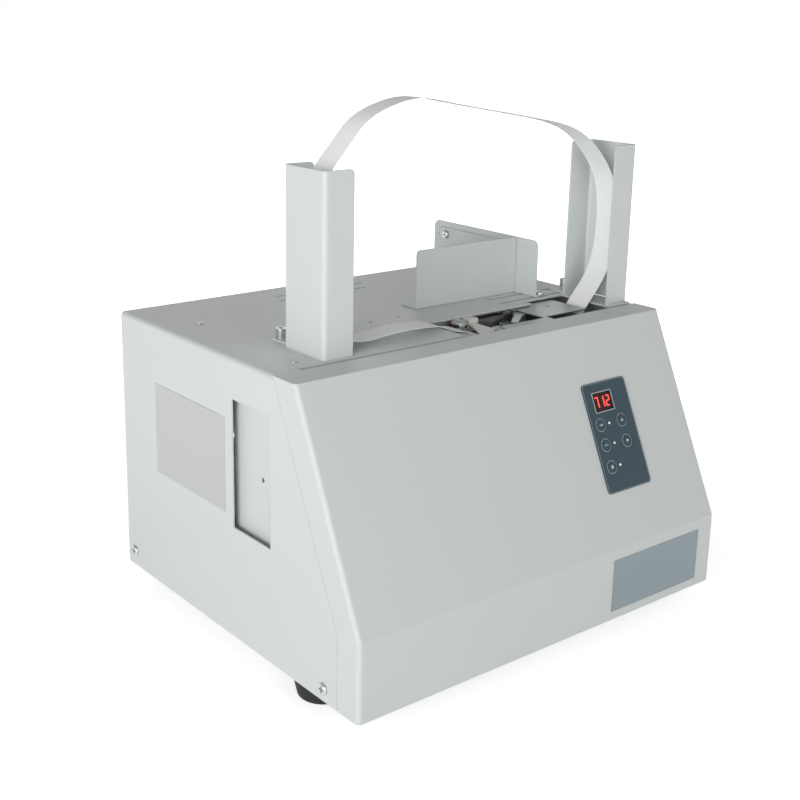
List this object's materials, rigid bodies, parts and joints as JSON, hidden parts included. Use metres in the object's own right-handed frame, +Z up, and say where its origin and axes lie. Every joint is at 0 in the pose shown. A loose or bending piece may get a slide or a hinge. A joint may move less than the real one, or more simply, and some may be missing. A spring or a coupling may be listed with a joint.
{
  "type": "banknote strapping machine",
  "caption": "Countertop banknote strapping machine: sheet-metal housing with a sloped front, key panel, paper band arched between posts, and an adjustable note stop on its table.",
  "frame": {"origin": "middle of the whole machine's footprint, on the surface that it stands on", "axes": "+X to the machine's right as its user sees it, +Y from the front to the back, +Z up"},
  "size_m": [0.4248, 0.3684, 0.4687],
  "materials": {
    "housing_paint": "light warm grey fine-texture powder coat",
    "panel_overlay": "satin slate blue overlay",
    "key_plastic": "satin slate blue with pale rings",
    "display_tint": "dark red tinted lens",
    "module_plastic": "black display module",
    "lit_red": "lit red segments",
    "circuit_board": "green solder mask",
    "label_film": "blank pale film",
    "steel_plated": "bright zinc-plated steel",
    "steel_sheet": "plain steel sheet",
    "steel_dark": "dark grey enamel",
    "paper_band": "smooth white paper tape",
    "foot_rubber": "black moulded rubber",
    "presser_plastic": "white low-friction plastic",
    "bronze": "oiled bronze bush",
    "roller_rubber": "ground black rubber",
    "belt_rubber": "black drive belt",
    "black_plastic": "black moulded plastic",
    "grey_plastic": "grey moulded plastic",
    "aluminium_cast": "machined aluminium",
    "core_iron": "varnished core and winding",
    "rocker_red": "dark red rocker"
  },
  "bodies": {
    "machine": {"housing_shell": "housing_paint", "base_pan": "housing_paint", "rear_panel": "housing_paint", "front_cover": "housing_paint", "rubber_feet": "foot_rubber", "housing_screws": "steel_plated", "side_plate": "label_film", "front_plate": "label_film", "window_plate": "housing_paint", "control_panel": "panel_overlay", "display_window": "display_tint", "display_module": "module_plastic", "display_lights": "lit_red", "control_board": "circuit_board", "left_post": "housing_paint", "right_post": "housing_paint", "post_screws": "steel_plated", "band_arch": "paper_band", "head_frame": "steel_sheet", "shaft_bushes": "bronze", "drive_belt": "belt_rubber", "gear_motor": "steel_dark", "head_guide": "aluminium_cast", "anvil_rails": "steel_sheet", "feed_motor": "black_plastic", "slot_guides": "steel_sheet", "reel_stand": "steel_sheet", "reel_knob": "black_plastic", "feed_strip": "paper_band", "power_supply": "steel_sheet", "transformer": "core_iron", "driver_board": "circuit_board", "fan_frame": "black_plastic", "power_inlet": "black_plastic", "rocker_frame": "black_plastic"},
    "feed_key": {"feed_key": "key_plastic"},
    "length_key": {"length_key": "key_plastic"},
    "reset_key": {"reset_key": "key_plastic"},
    "up_key": {"up_key": "key_plastic"},
    "down_key": {"down_key": "key_plastic"},
    "stop_carriage": {"stop_side_plate": "housing_paint", "stop_bolts": "steel_plated"},
    "stop_face": {"stop_face_plate": "housing_paint", "clamp_screw": "steel_plated"},
    "cam_train": {"cam_shaft": "steel_plated", "drive_cams": "steel_dark"},
    "motor_pulley": {"motor_pulley": "aluminium_cast"},
    "left_presser": {"left_presser": "presser_plastic"},
    "middle_presser": {"middle_presser": "presser_plastic"},
    "right_presser": {"right_presser": "steel_plated"},
    "cutter": {"cutter_blade": "steel_plated"},
    "heater": {"heater_arm": "steel_plated"},
    "anvil": {"anvil_plate": "steel_plated"},
    "feed_drive": {"feed_shaft": "steel_plated", "feed_roller": "roller_rubber"},
    "guide_roller": {"guide_roller": "steel_plated"},
    "reel": {"reel_hub": "grey_plastic", "tape_roll": "paper_band"},
    "fan": {"fan_rotor": "black_plastic"},
    "rocker": {"rocker_key": "rocker_red"}
  },
  "joints": [
    {"name": "feed_press", "type": "slide", "parent": "machine", "child": "feed_key", "axis": [0, 0.909, -0.4168], "range_m": [0, 0.0008], "stiffness_N_per_m": 400},
    {"name": "length_press", "type": "slide", "parent": "machine", "child": "length_key", "axis": [0, 0.909, -0.4168], "range_m": [0, 0.0008], "stiffness_N_per_m": 400},
    {"name": "reset_press", "type": "slide", "parent": "machine", "child": "reset_key", "axis": [0, 0.909, -0.4168], "range_m": [0, 0.0008], "stiffness_N_per_m": 400},
    {"name": "up_press", "type": "slide", "parent": "machine", "child": "up_key", "axis": [0, 0.909, -0.4168], "range_m": [0, 0.0008], "stiffness_N_per_m": 400},
    {"name": "down_press", "type": "slide", "parent": "machine", "child": "down_key", "axis": [0, 0.909, -0.4168], "range_m": [0, 0.0008], "stiffness_N_per_m": 400},
    {"name": "stop_slide", "type": "slide", "parent": "machine", "child": "stop_carriage", "axis": [1, 0, 0], "range_m": [-0.045, 0.014]},
    {"name": "face_slide", "type": "slide", "parent": "stop_carriage", "child": "stop_face", "axis": [0, 1, 0], "range_m": [-0.026, 0.008]},
    {"name": "cam_turn", "type": "hinge", "parent": "machine", "child": "cam_train", "pos_m": [0.07, 0, 0.17], "axis": [0, 1, 0], "range_deg": [0, 90]},
    {"name": "motor_turn", "type": "hinge", "parent": "machine", "child": "motor_pulley", "pos_m": [0.118, 0, 0.17], "axis": [0, 1, 0], "range_deg": [0, 226]},
    {"name": "left_presser_lift", "type": "slide", "parent": "machine", "child": "left_presser", "axis": [0, 0, 1], "range_m": [0, 0.0061]},
    {"name": "middle_presser_lift", "type": "slide", "parent": "machine", "child": "middle_presser", "axis": [0, 0, 1], "range_m": [0, 0.0061]},
    {"name": "right_presser_lift", "type": "slide", "parent": "machine", "child": "right_presser", "axis": [0, 0, 1], "range_m": [0, 0.0061]},
    {"name": "cutter_lift", "type": "slide", "parent": "machine", "child": "cutter", "axis": [0, 0, 1], "range_m": [0, 0.0061]},
    {"name": "heater_swing", "type": "hinge", "parent": "machine", "child": "heater", "pos_m": [0.1, -0.02575, 0.261], "axis": [0, 0, 1], "range_deg": [-25.1, 0]},
    {"name": "anvil_slide", "type": "slide", "parent": "machine", "child": "anvil", "axis": [0, -1, 0], "range_m": [0, 0.0401]},
    {"name": "feed_turn", "type": "hinge", "parent": "machine", "child": "feed_drive", "pos_m": [0.027, 0, 0.2414], "axis": [0, 1, 0], "continuous": true},
    {"name": "guide_roller_turn", "type": "hinge", "parent": "machine", "child": "guide_roller", "pos_m": [0.027, 0, 0.261], "axis": [0, 1, 0], "continuous": true},
    {"name": "reel_turn", "type": "hinge", "parent": "machine", "child": "reel", "pos_m": [-0.10925, -0.03375, 0.115], "axis": [0, 1, 0], "continuous": true},
    {"name": "fan_turn", "type": "hinge", "parent": "machine", "child": "fan", "pos_m": [-0.095, 0.16625, 0.15], "axis": [0, 1, 0], "continuous": true},
    {"name": "rocker_tilt", "type": "hinge", "parent": "machine", "child": "rocker", "pos_m": [0.102, 0.17825, 0.062], "axis": [0, 0, 1], "range_deg": [0, 14]}
  ],
  "couplings": [
    {"joint": "motor_turn", "follows": "cam_turn", "ratio": 2.5},
    {"joint": "left_presser_lift", "follows": "cam_turn", "m_per_rad": 0.0038197},
    {"joint": "middle_presser_lift", "follows": "cam_turn", "m_per_rad": 0.0038197},
    {"joint": "right_presser_lift", "follows": "cam_turn", "m_per_rad": 0.0038197},
    {"joint": "cutter_lift", "follows": "cam_turn", "m_per_rad": 0.0038197},
    {"joint": "heater_swing", "follows": "cam_turn", "ratio": -0.27778},
    {"joint": "anvil_slide", "follows": "cam_turn", "m_per_rad": 0.025465},
    {"joint": "guide_roller_turn", "follows": "feed_turn", "ratio": -2.8},
    {"joint": "reel_turn", "follows": "feed_turn", "ratio": 0.2}
  ]
}
